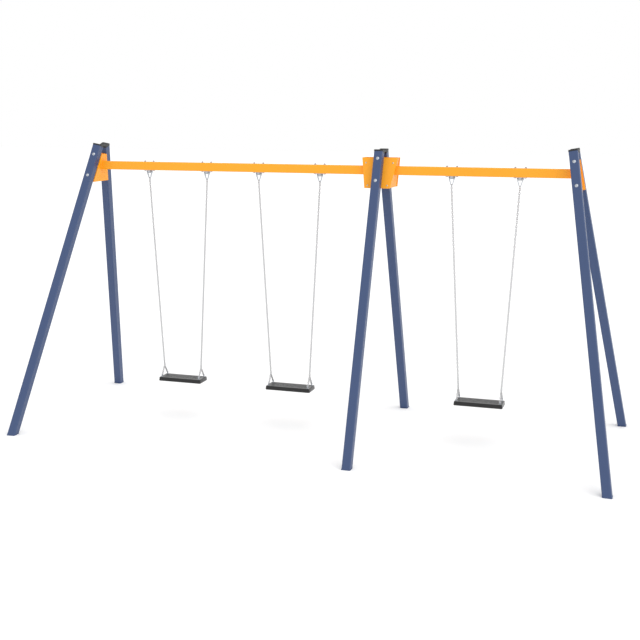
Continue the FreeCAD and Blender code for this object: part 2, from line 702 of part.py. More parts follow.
def bush_master():
    """A plain sleeve along local x."""
    start = -dim("bush_long") / 2
    outer = rod_across("bush_outside", start, "Dims.bush_outer / 2", "Dims.bush_long")
    bore = rod_across("bush_inside", 2 * start, "Dims.bush_bore / 2", "2 * Dims.bush_long")
    return cut("hanger_bush", outer, [bore])


def eye_start():
    """The pivot's middle to the near face of a stirrup's side."""
    return dim("bush_long") / 2 + dim("side_room")


def pin_master():
    """A headed pivot pin along local x, long enough for its nut."""
    end = eye_start() + dim("strap_thick")
    length = 2 * end + dim("pin_nut_thick") + dim("pin_tip")
    shaft = rod_across("pin_shaft", -end, "Dims.bush_bore / 2 - Dims.pin_room", length)
    head_start = -end - dim("pin_head_thick")
    head = rod_across("pin_head_disc", head_start, "Dims.pin_head / 2", "Dims.pin_head_thick")
    return joined("MultiFuse", "hanger_pin", [shaft, head])


def stirrup_taper():
    """A prism that narrows the strap from its shoulders to its foot."""
    foot_top = dim("strap_thick") / 2 - dim("stirrup_drop")
    foot_half, full_half = dim("stirrup_foot_deep") / 2, dim("strap_deep") / 2
    rate = (full_half - foot_half) / (-dim("stirrup_shoulder") - foot_top)
    low, high = foot_top - dim("strap_thick") - OVER, dim("strap_deep")
    halves = [foot_half + rate * (height - foot_top) for height in (low, high)]
    return prism("stirrup_taper", place(), dim("hanger_plate_long"), low, halves[0], high, halves[1])


def stirrup_master():
    """A bent strap hung from the pin by two eyes: straight shoulders, then sides that close to a bend."""
    thick, deep, shoulder = dim("strap_thick"), dim("strap_deep"), dim("stirrup_shoulder")
    eye_x = eye_start() + thick / 2
    bend = dim("stirrup_bend")
    centre_z = bend - dim("stirrup_drop")
    reach = math.hypot(eye_x, centre_z + shoulder)
    slope = math.degrees(math.atan2(eye_x, -centre_z - shoulder) - math.asin(bend / reach))
    run = math.sqrt(reach ** 2 - bend ** 2)
    parts, hollows = [], []
    for sign in (-1, 1):
        start = sign * eye_x - thick / 2
        parts.append(rod_across("stirrup_eye", start, "Dims.strap_deep / 2", "Dims.strap_thick"))
        hollows.append(rod_across("stirrup_bore", start - OVER, "Dims.bush_bore / 2", thick + 2 * OVER))
        upper = place(start, -deep / 2, -shoulder)
        sizes = ("Dims.strap_thick", "Dims.strap_deep", "Dims.stirrup_shoulder")
        parts.append(box("stirrup_upper", upper, *sizes))
        kink = place(sign * eye_x, deep / 2, -shoulder, ACROSS, 90)
        parts.append(rod("stirrup_kink", kink, "Dims.strap_thick / 2", "Dims.strap_deep"))
        down = place(sign * eye_x, 0, -shoulder, BACK, 180 + sign * slope)
        side = down.multiply(place(-thick / 2, -deep / 2))
        parts.append(box("stirrup_side", side, "Dims.strap_thick", "Dims.strap_deep", run))
    arc = place(0, deep / 2, centre_z, ACROSS, 90).multiply(place(axis=UP, angle=180 + slope))
    outside = "Dims.stirrup_bend + Dims.strap_thick / 2"
    turn = str(180 - 2 * slope)
    foot = primitive("Cylinder", "stirrup_foot", arc, Radius=outside, Height="Dims.strap_deep", Angle=turn)
    inside = place(0, deep, centre_z, ACROSS, 90)
    hollows.append(rod("stirrup_inside", inside, "Dims.stirrup_bend - Dims.strap_thick / 2", 2 * deep))
    solid = joined("MultiFuse", "stirrup_solid", parts + [foot])
    shaped = joined("MultiCommon", "stirrup_shaped", [solid, stirrup_taper()])
    return cut("hanger_stirrup", shaped, hollows)


# Chains ---------------------------------------------------------------------------------------------


def link_master():
    """A round-ended chain link in the local xz plane, long along z."""
    mean = (dim("chain_inside") + dim("chain_wire")) / 2
    straight = 2 * (link_crown() - mean)
    parts = []
    for sign in (-1, 1):
        crown = place(0, 0, sign * straight / 2, ACROSS, sign * 90)
        parts.append(ring("link_crown", crown, mean, "Dims.chain_wire / 2", 180))
        side = place(sign * mean, 0, -straight / 2)
        parts.append(rod("link_side", side, "Dims.chain_wire / 2", straight))
    return joined("MultiFuse", "chain_link", parts)


def link_places(first, towards, pitch, count):
    """Places of count links from first along a direction, each turned a quarter from the last."""
    along = FreeCAD.Vector(towards).normalize()
    facing = FreeCAD.Rotation(UP, along)
    places = []
    for number in range(count):
        turn = FreeCAD.Rotation(UP, 90 * (number % 2))
        middle = first.add(FreeCAD.Vector(along).multiply(number * pitch))
        places.append(FreeCAD.Placement(middle, facing.multiply(turn)))
    return places


def main_chain_places(swing, side):
    """Links from the foot of a hanger ring to the top of a joining ring, in an odd number."""
    top_x = dim(swing + "_x") + SIDES[side] * dim("hanger_spacing") / 2
    foot_x = dim(swing + "_x") + SIDES[side] * dim("seat_eye_x")
    top = FreeCAD.Vector(top_x, 0, hanger_ring_height() - dim("hanger_ring_radius"))
    foot = FreeCAD.Vector(foot_x, 0, ring_height() + dim("ring_radius"))
    run = foot.sub(top)
    over = dim("hanger_ring_wire") / 2 + dim("chain_wire") / 2 + dim("chain_room")
    under = dim("ring_wire") / 2 + dim("chain_wire") / 2 + dim("chain_room")
    spread = run.Length + over + under - 2 * link_crown()
    count = 2 * round(spread / dim("chain_pitch") / 2) + 1
    pitch = spread / (count - 1)
    print(f"{swing} {side} chain: {count} links at a pitch of {pitch:.3f} mm")
    first = top.add(FreeCAD.Vector(run).normalize().multiply(link_crown() - over))
    return link_places(first, run, pitch, count)


def seat_chain_places(swing):
    """The four short chains from the rings down to the seat's eyes."""
    places = []
    for x_sign in (-1, 1):
        x = dim(swing + "_x") + x_sign * dim("seat_eye_x")
        top = FreeCAD.Vector(x, 0, ring_height())
        for y_sign in (-1, 1):
            eye = FreeCAD.Vector(x, y_sign * dim("seat_eye_y"), seat_eye_height())
            run = eye.sub(top)
            start = hook(dim("ring_radius"), dim("ring_wire")) + link_crown()
            first = top.add(FreeCAD.Vector(run).normalize().multiply(start))
            places += link_places(first, run, dim("chain_pitch"), int(dim("seat_chain_links")))
    return places


def ring_master(kind):
    """A closed ring whose axis is local x: kind is the start of its two sizes' names."""
    return ring(kind, place(axis=BACK, angle=90), f"Dims.{kind}_radius", f"Dims.{kind}_wire / 2")


# Seats ----------------------------------------------------------------------------------------------


def tier(name, inset, bottom, thick, corner):
    """A rounded slab of the seat, inset from the seat's outline."""
    body = doc.addObject("PartDesign::Body", name)
    slab = body.newObject("PartDesign::AdditiveBox", name + "_slab")
    slab.setExpression("Length", f"Dims.seat_long - 2 * {inset}")
    slab.setExpression("Width", f"Dims.seat_deep - 2 * {inset}")
    slab.setExpression("Height", thick)
    slab.Placement = place(inset - dim("seat_long") / 2, inset - dim("seat_deep") / 2, bottom)
    doc.recompute()
    rounded(body, slab, long_edges(slab.Shape, UP, CLOSE), corner)
    return body


def seat_eye_points():
    """The four eyes' places in the seat's axes."""
    return [(x * dim("seat_eye_x"), y * dim("seat_eye_y")) for x in (-1, 1) for y in (-1, 1)]


def insert_solid(name):
    """The metal plate inside a seat, in the seat's axes."""
    corner = place(-dim("insert_long") / 2, -dim("insert_deep") / 2, dim("insert_height"))
    return box(name, corner, "Dims.insert_long", "Dims.insert_deep", "Dims.insert_thick")


def seat_holes(name, diameter, height):
    """Four round cutters at the eyes, up from just under the seat."""
    return [rod(name, place(x, y, -OVER), f"{diameter} / 2", height) for x, y in seat_eye_points()]


def eye_holes(name):
    """Cutters for the eyes' shanks, through the whole seat."""
    top = dim("seat_lower") + dim("seat_upper")
    return seat_holes(name, "(Dims.seat_eye_shank + 2 * Dims.hole_room)", top + 2 * OVER)


def seat(swing):
    """The moulded rubber seat: two tiers, a cavity for its insert, and holes and nut pockets."""
    name = swing + "_seat"
    lower = tier(name + "_lower", 0, 0, "Dims.seat_lower", "Dims.seat_corner")
    start = dim("seat_lower") - OVER
    inner_corner = "Dims.seat_corner - Dims.seat_step"
    upper = tier(name + "_upper", dim("seat_step"), start, f"Dims.seat_upper + {OVER}", inner_corner)
    top = dim("seat_lower") + dim("seat_upper")
    rim = [
        f"Edge{number}"
        for number, edge in enumerate(upper.Shape.Edges, start=1)
        if abs(edge.BoundBox.ZMin - top) < CLOSE
    ]
    rounded(upper, upper.Tip, rim, "Dims.seat_edge")
    solid = joined("MultiFuse", name + "_solid", [lower, upper])
    pockets = seat_holes(name + "_pocket", "Dims.seat_nut_pocket", dim("insert_height") + OVER)
    hollows = [insert_solid(name + "_cavity")] + eye_holes(name + "_hole") + pockets
    tools = [joined("MultiFuse", name + "_hollows", hollows)]
    sub_part(cut(name, solid, tools), name, place(dim(swing + "_x"), 0, dim("seat_clearance")))


def seat_insert(swing):
    """The metal plate in the rubber, drilled for the seat's eyes."""
    name = swing + "_seat_insert"
    plate = cut(name, insert_solid(name + "_plate"), eye_holes(name + "_hole"))
    sub_part(plate, name, place(dim(swing + "_x"), 0, dim("seat_clearance")))


def seat_eye_master():
    """An eye bolt with its collar's underside at local z = 0 and its shank down to the nut."""
    height = seat_eye_height() - seat_top()
    upright = place(z=height, axis=BACK, angle=90)
    eye = ring("seat_eye_ring", upright, "Dims.seat_eye_radius", "Dims.seat_eye_wire / 2")
    across = f"{COLLAR_ACROSS} * Dims.seat_eye_shank"
    collar = rod("seat_eye_collar", place(), across, "Dims.seat_eye_collar")
    down = dim("seat_lower") + dim("seat_upper") - dim("seat_eye_lift")
    shank = rod("seat_eye_shank", place(z=-down), "Dims.seat_eye_shank / 2", down + OVER)
    return joined("MultiFuse", "seat_eye", [eye, collar, shank])


# Assembly -------------------------------------------------------------------------------------------


def build_frame():
    """The six legs, the beams, what joins them, and their fasteners."""
    for frame in FRAMES:
        for side in LEGS:
            leg(frame, side)
    foot_plates()
    leg_caps()
    beam("left_beam", "left", "middle", SWINGS[:2])
    beam("right_beam", "middle", "right", SWINGS[2:])
    beam_bracket("left_beam_left_bracket", "left", 1)
    beam_bracket("left_beam_right_bracket", "middle", -1)
    beam_bracket("right_beam_left_bracket", "middle", 1)
    beam_bracket("right_beam_right_bracket", "right", -1)
    middle_plates()
    leg_fasteners()
    plate_fasteners()
    hanger_fasteners()


def build_hangers():
    """Each swing's two pivots under the beam, and what hangs on them."""
    pivots = {swing: [place(x, 0, pivot_height()) for x in hanger_xs(swing)] for swing in SWINGS}
    every = [pivot for swing in SWINGS for pivot in pivots[swing]]
    copies("hanger_housings", housing_master(), every)
    copies("hanger_bushes", bush_master(), every)
    pin, stirrup, hanger_ring = pin_master(), stirrup_master(), ring_master("hanger_ring")
    nut = hex_nut("pin_nut", "bush_bore", False, dim("pin_nut_thick"))
    nut_place = place(eye_start() + dim("strap_thick"), 0, 0, BACK, 90)
    for swing in SWINGS:
        copies(f"{swing}_pins", pin, pivots[swing])
        copies(f"{swing}_pin_nuts", nut, [pivot.multiply(nut_place) for pivot in pivots[swing]])
        copies(f"{swing}_stirrups", stirrup, pivots[swing])
        rings = [place(x, 0, hanger_ring_height()) for x in hanger_xs(swing)]
        copies(f"{swing}_hanger_rings", hanger_ring, rings)


def build_seats():
    """Each swing's chains, rings and seat."""
    link, joining_ring, eye = link_master(), ring_master("ring"), seat_eye_master()
    nut = hex_nut("seat_nut", "seat_eye_shank", True, nut_height("seat_eye_shank"))
    nut_turn = place(z=dim("insert_height"), axis=ACROSS, angle=180)
    for swing in SWINGS:
        middle = place(dim(swing + "_x"))
        for side in SIDES:
            copies(f"{swing}_{side}_chain", link, main_chain_places(swing, side))
        rings = [middle.multiply(place(sign * dim("seat_eye_x"), 0, ring_height())) for sign in (-1, 1)]
        copies(f"{swing}_rings", joining_ring, rings)
        copies(f"{swing}_seat_chains", link, seat_chain_places(swing))
        seat(swing)
        seat_insert(swing)
        eyes = [middle.multiply(place(x, y, seat_top())) for x, y in seat_eye_points()]
        copies(f"{swing}_seat_eyes", eye, eyes)
        soles = [middle.multiply(place(x, y, dim("seat_clearance"))) for x, y in seat_eye_points()]
        copies(f"{swing}_seat_nuts", nut, [sole.multiply(nut_turn) for sole in soles])


def check_and_write():
    """Stops at any failed object or bad shape, then writes one STEP file for each sub-part."""
    doc.recompute()
    for thing in doc.Objects:
        if "Invalid" in thing.State or "Error" in thing.State:
            raise RuntimeError(f"{thing.Label} failed: {thing.State}")
    for piece in sub_parts:
        if piece.Shape.isNull() or not piece.Shape.isValid() or not piece.Shape.Solids:
            raise RuntimeError(f"{piece.Label} has a bad shape")
    os.makedirs("parts", exist_ok=True)
    for piece in sub_parts:
        piece.Shape.exportStep(f"parts/{piece.Label}.step")
        print(f"{piece.Label}: {len(piece.Shape.Solids)} solids, {piece.Shape.Volume / 1e3:.1f} cm3")
    print(f"{len(sub_parts)} sub-parts")


fill_sheet()
build_frame()
build_hangers()
build_seats()
check_and_write()
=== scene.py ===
"""Looks for a triple chain swing set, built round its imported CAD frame.

The CAD nodes keep their shapes and get materials here. The chains and the seats are built again at a finer
level and stand for their CAD nodes, and weld beads are added where the CAD has plain touching faces.
Lengths are in metres, in the CAD's frame: +X runs along the crossbeam, -Y is the front and +Z is up.
"""

import json
import math

import bpy
from mathutils import Matrix, Vector


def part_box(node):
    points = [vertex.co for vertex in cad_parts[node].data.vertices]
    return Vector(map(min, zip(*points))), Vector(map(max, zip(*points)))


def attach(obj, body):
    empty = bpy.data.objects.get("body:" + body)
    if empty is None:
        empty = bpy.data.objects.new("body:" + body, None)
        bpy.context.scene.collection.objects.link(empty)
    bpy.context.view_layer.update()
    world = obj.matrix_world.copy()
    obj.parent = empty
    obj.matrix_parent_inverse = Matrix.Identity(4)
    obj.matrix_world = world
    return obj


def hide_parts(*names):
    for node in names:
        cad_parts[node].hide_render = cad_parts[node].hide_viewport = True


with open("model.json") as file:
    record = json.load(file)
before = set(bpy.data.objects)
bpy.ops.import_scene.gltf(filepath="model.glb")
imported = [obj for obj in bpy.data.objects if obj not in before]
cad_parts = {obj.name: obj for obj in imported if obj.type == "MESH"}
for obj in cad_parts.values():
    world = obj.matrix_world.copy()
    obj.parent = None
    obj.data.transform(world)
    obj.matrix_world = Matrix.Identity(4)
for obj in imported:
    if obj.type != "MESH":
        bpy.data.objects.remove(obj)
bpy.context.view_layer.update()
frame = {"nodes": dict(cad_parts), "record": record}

SWINGS = ("left_swing", "centre_swing", "right_swing")
MM = 0.001

# Chain, as the CAD has it.
CHAIN_WIRE = 6 * MM
CHAIN_INSIDE = 8 * MM
CHAIN_PITCH = 18.5 * MM
CHAIN_ROOM = 0.3 * MM
SEAT_CHAIN_LINKS = 5
HANGER_RING_WIRE = 6 * MM
RING_WIRE = 7 * MM
RING_RADIUS = 15 * MM
EYE_WIRE = 7 * MM
EYE_RADIUS = 9 * MM

# How finely a link is cut: points round each crown, along each side and round the wire.
CROWN_STEPS = 9
SIDE_STEPS = 4
WIRE_STEPS = 12

# A link's weld: the share it adds to the wire's radius, and its reach along the side.
WELD_SWELL = 0.10
WELD_LENGTH = 2 * MM

UP = Vector((0, 0, 1))

# How far short of a node's end a point may stop and still count as part of the end.
END_DEPTH = 0.1 * MM


# Meshes ---------------------------------------------------------------------------------------------


def new_piece(name, vertices, faces, material, slot, body):
    """A smooth-shaded mesh object that rides on a CAD body."""
    mesh = bpy.data.meshes.new(name)
    mesh.from_pydata(vertices, [], faces)
    mesh.update()
    mesh.shade_smooth()
    mesh.materials.append(material)
    piece = bpy.data.objects.new(name, mesh)
    bpy.context.scene.collection.objects.link(piece)
    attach(piece, body)
    return piece


def closed_tube(centres, across, radii, steps):
    """Vertices and faces of a tube round a closed line. across is square to the line's plane."""
    vertices, faces = [], []
    count = len(centres)
    for number, centre in enumerate(centres):
        along = (centres[(number + 1) % count] - centres[number - 1]).normalized()
        outward = along.cross(across).normalized()
        for step in range(steps):
            turn = 2 * math.pi * step / steps
            offset = outward * math.cos(turn) + across * math.sin(turn)
            vertices.append(centre + offset * radii[number])
        start, after = number * steps, (number + 1) % count * steps
        for step in range(steps):
            beside = (step + 1) % steps
            faces.append((start + step, start + beside, after + beside, after + step))
    return vertices, faces


def append_mesh(vertices, faces, more_vertices, more_faces):
    """Adds one mesh's vertices and faces to the ends of another's."""
    base = len(vertices)
    vertices += more_vertices
    faces += [tuple(base + corner for corner in face) for face in more_faces]


def repeated(vertices, faces, placements):
    """The same mesh at every placement, as one list of vertices and one of faces."""
    all_vertices, all_faces = [], []
    for placement in placements:
        append_mesh(all_vertices, all_faces, [placement @ vertex for vertex in vertices], faces)
    return all_vertices, all_faces


def node_points(node):
    """Every vertex of a CAD node at rest."""
    return [vertex.co for vertex in frame["nodes"][node].data.vertices]


def extreme_point(node, side, sign):
    """Middle of the highest (sign 1) or lowest (sign -1) points of a node on one side of its middle.

    side holds the signs of x and y to keep. A sign of 0 keeps both sides.
    """
    low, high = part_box(node)
    middle = (low + high) / 2
    kept = [
        point
        for point in node_points(node)
        if (point.x - middle.x) * side[0] >= 0 and (point.y - middle.y) * side[1] >= 0
    ]
    limit = max(sign * point.z for point in kept)
    ends = [point for point in kept if sign * point.z > limit - END_DEPTH]
    return sum(ends, Vector()) / len(ends)


# Chains ---------------------------------------------------------------------------------------------


def link_crown():
    """A link's middle to the wire centre of its crown."""
    return (CHAIN_PITCH + CHAIN_ROOM + CHAIN_WIRE) / 2


def link_shape():
    """One link about the origin, long along z in the xz plane, with a small swelling at its weld."""
    mean = (CHAIN_INSIDE + CHAIN_WIRE) / 2
    half_side = link_crown() - mean
    centres, radii = [], []
    for sign in (1, -1):
        for step in range(CROWN_STEPS):
            turn = math.pi * step / CROWN_STEPS
            middle = Vector((0, 0, sign * half_side))
            spoke = Vector((math.cos(turn), 0, math.sin(turn))) * mean * sign
            centres.append(middle + spoke)
            radii.append(CHAIN_WIRE / 2)
        for step in range(SIDE_STEPS):
            height = sign * half_side * (1 - 2 * step / SIDE_STEPS)
            swell = WELD_SWELL * math.exp(-((height / WELD_LENGTH) ** 2)) if sign > 0 else 0.0
            centres.append(Vector((-sign * mean, 0, height)))
            radii.append(CHAIN_WIRE / 2 * (1 + swell))
    return closed_tube(centres, Vector((0, 1, 0)), radii, WIRE_STEPS)


def link_places(first, run, pitch, count):
    """Placements of count links from first along run, each turned a quarter from the last."""
    facing = UP.rotation_difference(run.normalized()).to_matrix().to_4x4()
    places = []
    for number in range(count):
        turn = Matrix.Rotation(math.radians(90 * (number % 2)), 4, "Z")
        middle = Matrix.Translation(first + run.normalized() * pitch * number)
        places.append(middle @ facing @ turn)
    return places


def main_chain(swing, side, sign, material):
    """The chain from a hanger ring to a joining ring. Its links stand for the CAD's own."""
    top = extreme_point(swing + "_hanger_rings", (sign, 0), -1) + UP * HANGER_RING_WIRE / 2
    foot = extreme_point(swing + "_rings", (sign, 0), 1) - UP * RING_WIRE / 2
    run = foot - top
    over = HANGER_RING_WIRE / 2 + CHAIN_WIRE / 2 + CHAIN_ROOM
    under = RING_WIRE / 2 + CHAIN_WIRE / 2 + CHAIN_ROOM
    spread = run.length + over + under - 2 * link_crown()
    count = 2 * round(spread / CHAIN_PITCH / 2) + 1
    first = top + run.normalized() * (link_crown() - over)
    places = link_places(first, run, spread / (count - 1), count)
    shape = repeated(*link_shape(), places)
    piece = new_piece(f"{swing}_{side}_chain_links", *shape, material, "galvanised_chain", swing)
    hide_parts(f"{swing}_{side}_chain")


def hook(radius, wire):
    """Middle of a ring or eye to the crown's wire centre of the link that hooks on it."""
    return radius - wire / 2 - CHAIN_WIRE / 2 - CHAIN_ROOM


def seat_chains(swing, material):
    """The four short chains from the joining rings to the seat's eyes."""
    places = []
    for x_sign in (-1, 1):
        ring = extreme_point(swing + "_rings", (x_sign, 0), 1) - UP * (RING_RADIUS + RING_WIRE / 2)
        for y_sign in (-1, 1):
            eye_top = extreme_point(swing + "_seat_eyes", (x_sign, y_sign), 1)
            run = eye_top - UP * (EYE_RADIUS + EYE_WIRE / 2) - ring
            first = ring + run.normalized() * (hook(RING_RADIUS, RING_WIRE) + link_crown())
            places += link_places(first, run, CHAIN_PITCH, SEAT_CHAIN_LINKS)
    shape = repeated(*link_shape(), places)
    piece = new_piece(swing + "_seat_chain_links", *shape, material, "galvanised_chain", swing + "_seat_body")
    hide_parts(swing + "_seat_chains")


# Seats ----------------------------------------------------------------------------------------------

SEAT_CORNER = 12 * MM
LEAST_CORNER = 3 * MM
CORNER_STEPS = 6
SHARP_ANGLE = 50
RIB_PITCH = 10 * MM
RIB_WIDTH = 6 * MM
RIB_HEIGHT = 0.7 * MM

# How far the sunk top panel and its ribs stop from the seat's outline and its ends.
PANEL_INSET = 20 * MM
PANEL_END = 40 * MM

# The seat's side as (inset, height) from its underside, in metres.
SEAT_PROFILE = (
    (30 * MM, 2.0 * MM),
    (16 * MM, 2.0 * MM),
    (14 * MM, 0.0 * MM),
    (1.2 * MM, 0.0 * MM),
    (0.3 * MM, 0.3 * MM),
    (0.0 * MM, 1.2 * MM),
    (0.0 * MM, 16.2 * MM),
    (0.3 * MM, 17.3 * MM),
    (1.0 * MM, 17.9 * MM),
    (1.7 * MM, 18.1 * MM),
    (2.0 * MM, 18.8 * MM),
    (2.0 * MM, 31.0 * MM),
    (2.5 * MM, 33.7 * MM),
    (4.1 * MM, 35.9 * MM),
    (6.3 * MM, 37.5 * MM),
    (9.0 * MM, 38.0 * MM),
    (17.0 * MM, 38.0 * MM),
    (18.4 * MM, 37.7 * MM),
    (PANEL_INSET, 37.2 * MM),
)


def seat_outline(half_long, half_deep, inset):
    """Points round a rounded rectangle, inset from the seat's own outline."""
    corner = max(SEAT_CORNER - inset, LEAST_CORNER)
    points = []
    for quarter in range(4):
        turn = math.pi / 2 * quarter
        x_sign = 1 if quarter in (0, 3) else -1
        y_sign = 1 if quarter in (0, 1) else -1
        middle = Vector((x_sign * (half_long - inset - corner), y_sign * (half_deep - inset - corner)))
        for step in range(CORNER_STEPS + 1):
            angle = turn + math.pi / 2 * step / CORNER_STEPS
            points.append(middle + corner * Vector((math.cos(angle), math.sin(angle))))
    return points


def seat_shell(half_long, half_deep):
    """The seat's skin, lofted through its profile and closed above and below."""
    vertices, faces = [], []
    for inset, height in SEAT_PROFILE:
        for point in seat_outline(half_long, half_deep, inset):
            vertices.append(Vector((point.x, point.y, height)))
    around = 4 * (CORNER_STEPS + 1)
    for level in range(len(SEAT_PROFILE) - 1):
        for step in range(around):
            beside = (step + 1) % around
            low, high = level * around, (level + 1) * around
            faces.append((low + step, low + beside, high + beside, high + step))
    faces.append(tuple(range(around))[::-1])
    faces.append(tuple(range(len(vertices) - around, len(vertices))))
    return vertices, faces


def rib(length, width, height):
    """A low rounded bar along x whose foot is at z = 0."""
    half_section = [(0.5, -0.5), (0.5, 0.4), (0.44, 0.8), (0.34, 1.0)]
    section = [(-across, up) for across, up in half_section] + half_section[::-1]
    ends = [(-1.0, 0.45), (-0.985, 0.85), (-0.96, 1.0), (0.96, 1.0), (0.985, 0.85), (1.0, 0.45)]
    vertices, faces = [], []
    for share, scale in ends:
        for across, up in section:
            rise = up * height * (scale if up > 0 else 1)
            vertices.append(Vector((share * length / 2, across * width * scale, rise)))
    count = len(section)
    for level in range(len(ends) - 1):
        for step in range(count):
            beside = (step + 1) % count
            low, high = level * count, (level + 1) * count
            faces.append((low + beside, low + step, high + step, high + beside))
    faces.append(tuple(range(count)))
    faces.append(tuple(range(len(vertices) - count, len(vertices)))[::-1])
    return vertices, faces


def seat(swing, material):
    """The moulded rubber seat: two tiers with a ledge between, a rolled rim and a ribbed top."""
    low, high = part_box(swing + "_seat")
    half_long, half_deep = (high.x - low.x) / 2, (high.y - low.y) / 2
    vertices, faces = seat_shell(half_long, half_deep)
    panel = SEAT_PROFILE[-1][1]
    length = 2 * (half_long - PANEL_END)
    ribs = int(2 * (half_deep - PANEL_INSET) / RIB_PITCH) - 1
    places = [Matrix.Translation((0, (number - (ribs - 1) / 2) * RIB_PITCH, panel)) for number in range(ribs)]
    append_mesh(vertices, faces, *repeated(*rib(length, RIB_WIDTH, RIB_HEIGHT), places))
    middle = Vector(((low.x + high.x) / 2, (low.y + high.y) / 2, low.z))
    vertices = [vertex + middle for vertex in vertices]
    name, body = swing + "_seat_moulding", swing + "_seat_body"
    piece = new_piece(name, vertices, faces, material, "black_rubber", body)
    piece.data.set_sharp_from_angle(angle=math.radians(SHARP_ANGLE))
    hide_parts(swing + "_seat")


# Welds ----------------------------------------------------------------------------------------------

TUBE_CORNER = 9 * MM
BEAD_RADIUS = 3.6 * MM
BEAD_RIPPLE = 0.10
BEAD_RIPPLE_LENGTH = 4 * MM
BEAD_STEP = 1.3 * MM
BEAD_SIDES = 8


def square_path(half, corner, step):
    """Points round a rounded square in the yz plane, a step apart."""
    straight = 2 * (half - corner)
    arc = math.pi / 2 * corner
    points = []
    for quarter in range(4):
        turn = Matrix.Rotation(math.pi / 2 * quarter, 2)
        for number in range(int(straight / step)):
            points.append(turn @ Vector((half, -straight / 2 + number * step)))
        for number in range(int(arc / step)):
            angle = number * step / corner
            spoke = Vector((math.cos(angle), math.sin(angle))) * corner
            points.append(turn @ (Vector((half - corner, half - corner)) + spoke))
    return points


def beam_weld(beam, sign):
    """A rippled bead round one end of a beam, on the plane that the end is cut to."""
    low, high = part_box(beam)
    points = node_points(beam)
    top_x = max((sign * point.x for point in points if point.z > high.z - MM)) * sign
    bottom_x = max((sign * point.x for point in points if point.z < low.z + MM)) * sign
    half = (high.z - low.z) / 2
    lean = (top_x - bottom_x) / (2 * half)
    middle = Vector(((top_x + bottom_x) / 2, (low.y + high.y) / 2, (low.z + high.z) / 2))
    centres, radii = [], []
    for number, point in enumerate(square_path(half, TUBE_CORNER, BEAD_STEP)):
        centres.append(middle + Vector((point.y * lean, point.x, point.y)))
        ripple = math.sin(2 * math.pi * number * BEAD_STEP / BEAD_RIPPLE_LENGTH)
        radii.append(BEAD_RADIUS * (1 + BEAD_RIPPLE * ripple))
    return closed_tube(centres, Vector((1, 0, -lean)).normalized(), radii, BEAD_SIDES)


def weld_beads(material):
    """All four beads as one painted piece."""
    vertices, faces = [], []
    for beam in ("left_beam", "right_beam"):
        for sign in (-1, 1):
            append_mesh(vertices, faces, *beam_weld(beam, sign))
    new_piece("beam_weld_beads", vertices, faces, material, "orange_powder_coat", "frame")


# Materials ------------------------------------------------------------------------------------------


# The part of noise's range where nearly all of it lies.
NOISE_SPAN = (0.3, 0.7)


class Nodes:
    """A material and short ways to add and join its nodes."""

    def __init__(self, name):
        self.material = bpy.data.materials.new(name)
        self.material.use_nodes = True
        self.tree = self.material.node_tree
        self.shader = self.tree.nodes["Principled BSDF"]
        self.place = self.add("ShaderNodeTexCoord").outputs["Object"]

    def add(self, kind, **settings):
        """A new node. Settings whose names are sockets go to the sockets, and the rest to the node."""
        node = self.tree.nodes.new(kind)
        sockets = {socket.name.lower(): socket for socket in node.inputs}
        for key, value in settings.items():
            if key in sockets:
                sockets[key].default_value = value
            else:
                setattr(node, key, value)
        return node

    def join(self, source, node, socket):
        """Joins an output to a node's named socket."""
        self.tree.links.new(source, node.inputs[socket])

    def noise(self, scale, detail):
        """Noise over the object's own coordinates, in cycles a metre."""
        node = self.add("ShaderNodeTexNoise", scale=scale, detail=detail)
        self.join(self.place, node, "Vector")
        return node.outputs["Fac"]

    def cells(self, scale):
        """Voronoi cells over the object's own coordinates, each with its own grey."""
        node = self.add("ShaderNodeTexVoronoi", scale=scale)
        self.join(self.place, node, "Vector")
        split = self.add("ShaderNodeSeparateColor")
        self.join(node.outputs["Color"], split, "Color")
        return split.outputs["Red"]

    def spread(self, source, low, high, new_low, new_high):
        """source from low..high onto new_low..new_high."""
        node = self.add("ShaderNodeMapRange")
        ends = {"From Min": low, "From Max": high, "To Min": new_low, "To Max": new_high}
        for socket, value in ends.items():
            node.inputs[socket].default_value = value
        self.join(source, node, "Value")
        return node.outputs["Result"]

    def mottle(self, scale, detail, new_low=0.0, new_high=1.0):
        """Noise whose span is stretched onto new_low..new_high."""
        return self.spread(self.noise(scale, detail), *NOISE_SPAN, new_low, new_high)

    def mixed(self, share, first, second):
        """Two colours mixed by a share. Each is a colour or an output."""
        node = self.add("ShaderNodeMix", data_type="RGBA")
        self.join(share, node, 0)
        for socket, colour in ((6, first), (7, second)):
            if isinstance(colour, tuple):
                node.inputs[socket].default_value = (*colour, 1.0)
            else:
                self.join(colour, node, socket)
        return node.outputs[2]

    def bump(self, height, strength, distance, under=None):
        """A bump from a height, on top of another bump if one is given."""
        node = self.add("ShaderNodeBump", strength=strength, distance=distance)
        self.join(height, node, "Height")
        if under is not None:
            self.join(under, node, "Normal")
        return node.outputs["Normal"]

    def fixed(self, **values):
        """Sets sockets on the shader that are the same all over the surface."""
        sockets = {socket.name.lower(): socket for socket in self.shader.inputs}
        for key, value in values.items():
            sockets[key.replace("_", " ")].default_value = value


def scaled(colour, share):
    """A colour made lighter or darker."""
    return tuple(min(1.0, channel * share) for channel in colour)


COAT_SPECULAR = 0.42


